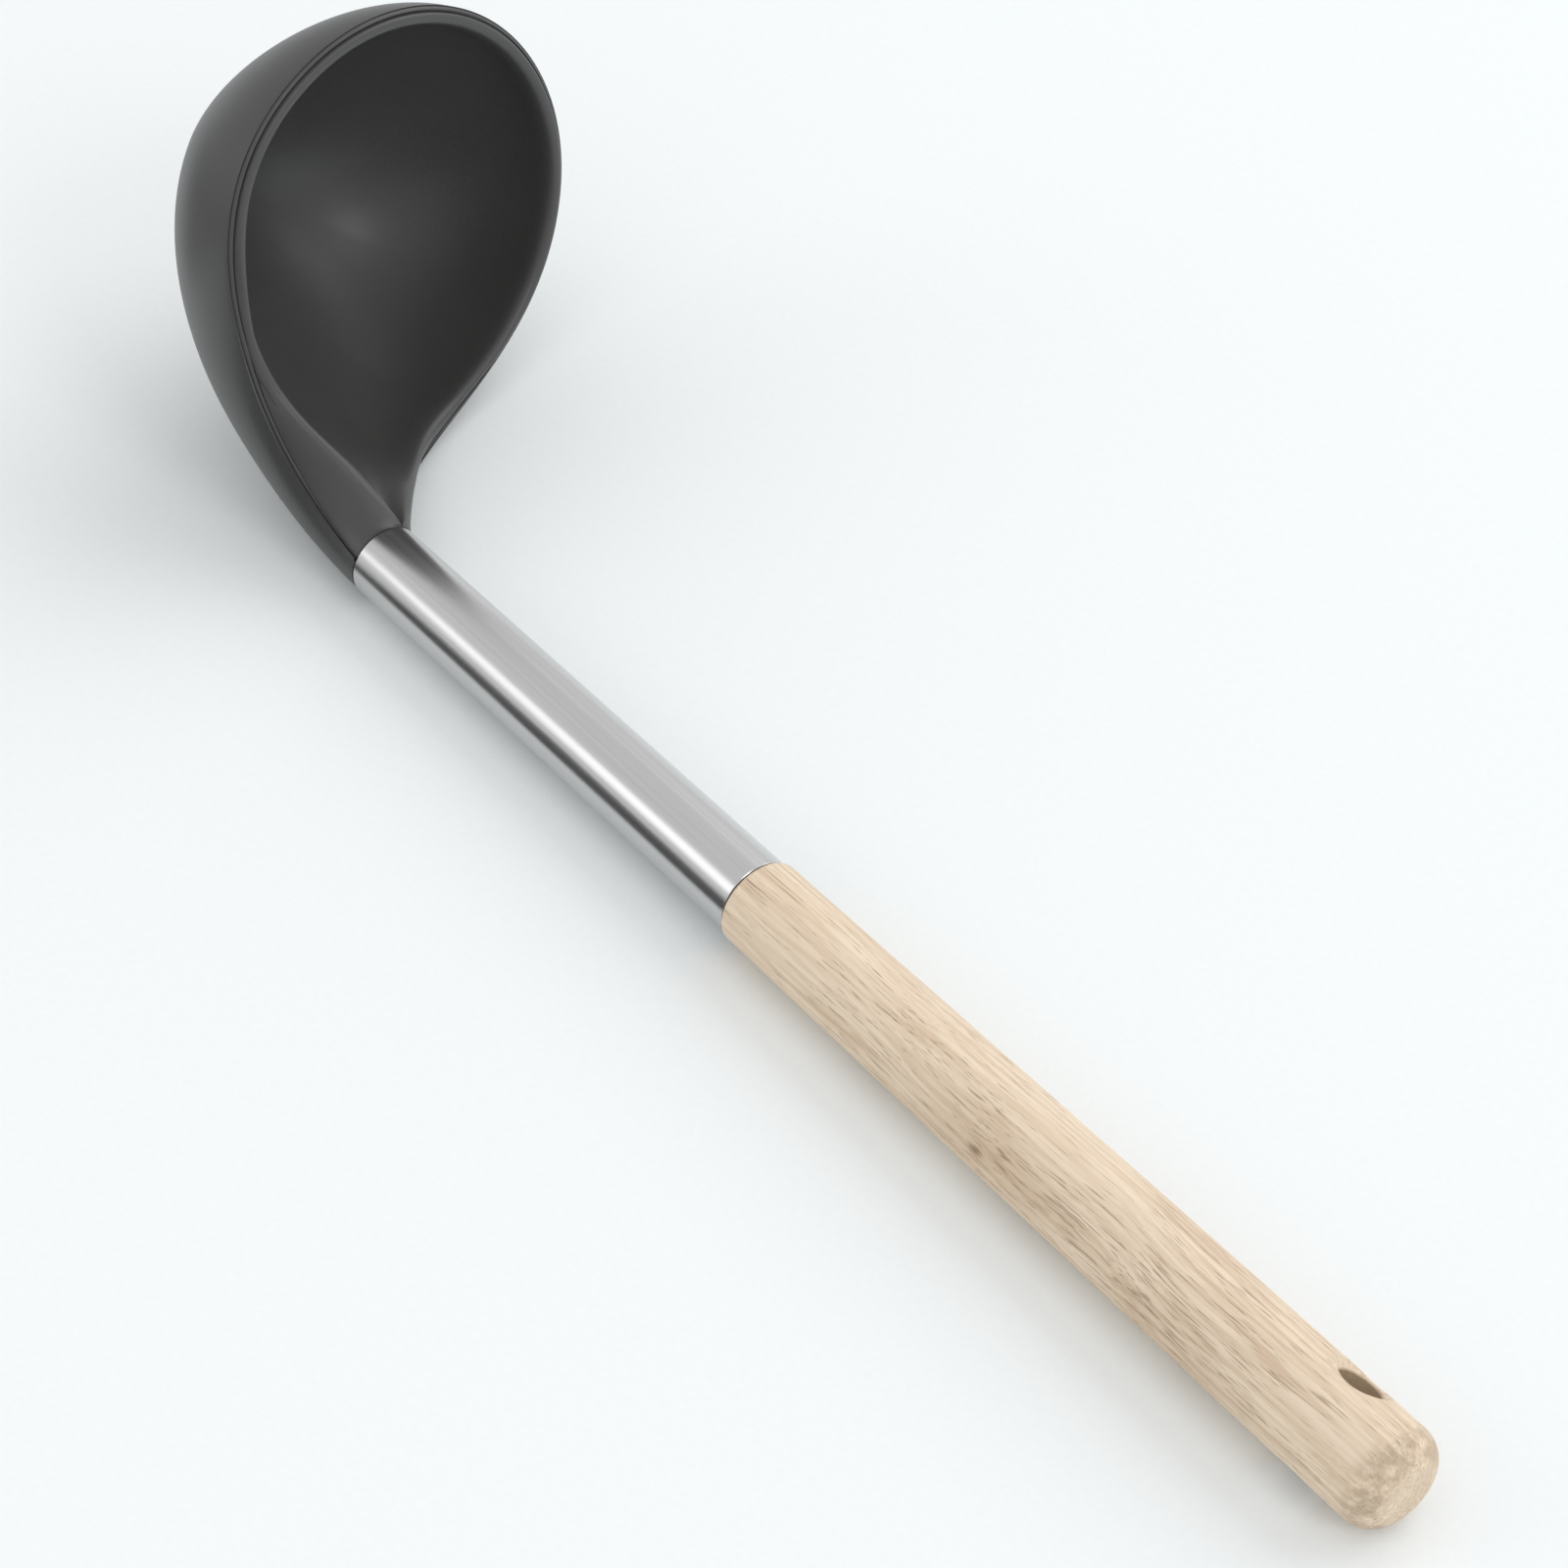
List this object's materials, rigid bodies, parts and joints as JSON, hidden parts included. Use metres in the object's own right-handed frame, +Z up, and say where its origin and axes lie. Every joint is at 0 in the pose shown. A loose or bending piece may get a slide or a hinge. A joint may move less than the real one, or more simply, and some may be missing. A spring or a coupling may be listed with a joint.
{
  "type": "serving ladle",
  "caption": "Serving ladle: deep teardrop bowl of dark silicone over a stiff core, satin steel tube and a round wooden handle with a hanging hole.",
  "frame": {"origin": "middle of the bounding box, on the surface that the ladle lies on", "axes": "+X along the handle towards its end, +Z up; the ladle lies rolled to one side, as it comes to rest on a table"},
  "size_m": [0.3592, 0.0876, 0.0893],
  "materials": {
    "silicone": "matt moulded silicone, dark charcoal grey",
    "core_nylon": "plain moulded nylon, hidden",
    "satin_steel": "satin stainless steel, finely brushed along the tube",
    "oiled_wood": "pale peach-coloured hardwood with fine brown pore dashes along the grain, sanded and oiled"
  },
  "bodies": {
    "root": {"silicone_head": "silicone", "nylon_core": "core_nylon", "steel_tube": "satin_steel", "wooden_handle": "oiled_wood"}
  },
  "joints": []
}
